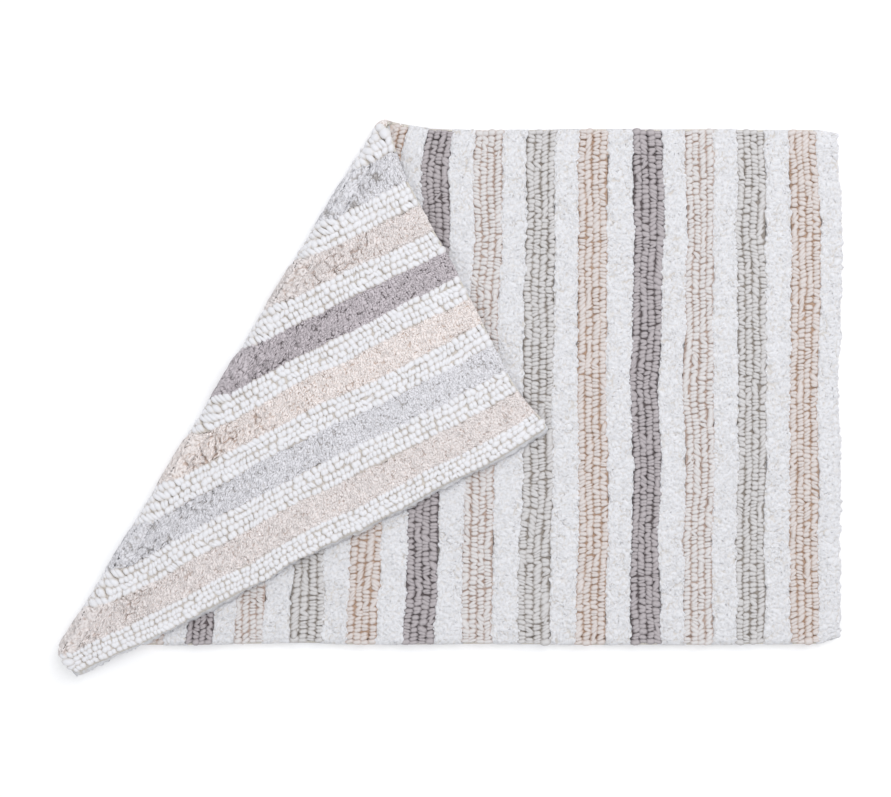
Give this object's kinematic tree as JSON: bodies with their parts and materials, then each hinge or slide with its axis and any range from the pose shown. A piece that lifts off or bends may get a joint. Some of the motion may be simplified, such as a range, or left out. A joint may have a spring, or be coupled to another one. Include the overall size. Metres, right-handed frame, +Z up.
{
  "type": "bath mat",
  "caption": "Rectangular reversible tufted cotton bath mat, striped across its length, with one end turned over on a slanting fold that opens flat.",
  "frame": {"origin": "middle of the flat mat's outline, on the underside", "axes": "+X along the mat across its stripes, towards the end that lies flat; +Y along the stripes; +Z up; the turned-over end is at -X"},
  "size_m": [0.7573, 0.5346, 0.03],
  "materials": {
    "yarn_white": "white cotton yarn, cut pile or loops",
    "yarn_rose": "pale rose-beige cotton yarn",
    "yarn_sage": "pale sage-grey cotton yarn",
    "yarn_peach": "pale peach cotton yarn",
    "yarn_taupe": "mauve-taupe cotton yarn",
    "woven_base_cloth": "plain woven cotton",
    "turned_hem": "turned edge of the woven cotton",
    "hem_thread": "spun sewing thread"
  },
  "bodies": {
    "mat": {"base_cloth": "woven_base_cloth", "edge_hem": "turned_hem", "hem_thread": "hem_thread", "stripe_02_sage": "yarn_sage", "stripe_03_peach": "yarn_peach", "stripe_04_taupe": "yarn_taupe", "stripe_05_rose": "yarn_rose", "stripe_06_sage": "yarn_sage", "stripe_07_peach": "yarn_peach", "stripe_08_taupe": "yarn_taupe", "stripe_09_rose": "yarn_rose", "stripe_10_sage": "yarn_sage", "stripe_11_peach": "yarn_peach", "stripe_12_taupe": "yarn_taupe", "stripe_13_rose": "yarn_rose", "stripe_14_sage": "yarn_sage", "stripe_15_peach": "yarn_peach", "white_band_02": "yarn_white", "white_band_03": "yarn_white", "white_band_04": "yarn_white", "white_band_05": "yarn_white", "white_band_06": "yarn_white", "white_band_07": "yarn_white", "white_band_08": "yarn_white", "white_band_09": "yarn_white", "white_band_10": "yarn_white", "white_band_11": "yarn_white", "white_band_12": "yarn_white", "white_band_13": "yarn_white", "white_band_14": "yarn_white", "white_band_15": "yarn_white", "white_band_16": "yarn_white"},
    "fold_strip_1": {"fold_strip_1_cloth": "woven_base_cloth", "fold_strip_1_hem_ends": "turned_hem", "fold_strip_1_tufts": "yarn_white"},
    "fold_strip_2": {"fold_strip_2_cloth": "woven_base_cloth", "fold_strip_2_hem_ends": "turned_hem", "fold_strip_2_tufts": "yarn_white"},
    "fold_strip_3": {"fold_strip_3_cloth": "woven_base_cloth", "fold_strip_3_hem_ends": "turned_hem", "fold_strip_3_tufts": "yarn_white"},
    "flap": {"flap_base_cloth": "woven_base_cloth", "flap_edge_hem": "turned_hem", "flap_hem_thread": "hem_thread", "flap_stripe_01_rose": "yarn_rose", "flap_stripe_02_sage": "yarn_sage", "flap_stripe_03_peach": "yarn_peach", "flap_stripe_04_taupe": "yarn_taupe", "flap_stripe_05_rose": "yarn_rose", "flap_stripe_06_sage": "yarn_sage", "flap_white_band_01": "yarn_white", "flap_white_band_02": "yarn_white", "flap_white_band_03": "yarn_white", "flap_white_band_04": "yarn_white", "flap_white_band_05": "yarn_white", "flap_white_band_06": "yarn_white", "flap_white_band_07": "yarn_white"}
  },
  "joints": [
    {"name": "fold_line_1", "type": "hinge", "parent": "mat", "child": "fold_strip_1", "pos_m": [-0.20056, -0.0051, 0.0071], "axis": [-0.5198, -0.8543, 0], "range_deg": [0, 45]},
    {"name": "fold_line_2", "type": "hinge", "parent": "fold_strip_1", "child": "fold_strip_2", "pos_m": [-0.20452, -0.0027, 0.01173], "axis": [-0.5198, -0.8543, 0], "range_deg": [0, 45]},
    {"name": "fold_line_3", "type": "hinge", "parent": "fold_strip_2", "child": "fold_strip_3", "pos_m": [-0.20452, -0.0027, 0.01827], "axis": [-0.5198, -0.8543, 0], "range_deg": [0, 45]},
    {"name": "fold_line_4", "type": "hinge", "parent": "fold_strip_3", "child": "flap", "pos_m": [-0.20056, -0.0051, 0.0229], "axis": [-0.5198, -0.8543, 0], "range_deg": [0, 45]}
  ],
  "couplings": [
    {"joint": "fold_line_2", "follows": "fold_line_1", "ratio": 1},
    {"joint": "fold_line_3", "follows": "fold_line_1", "ratio": 1},
    {"joint": "fold_line_4", "follows": "fold_line_1", "ratio": 1}
  ]
}
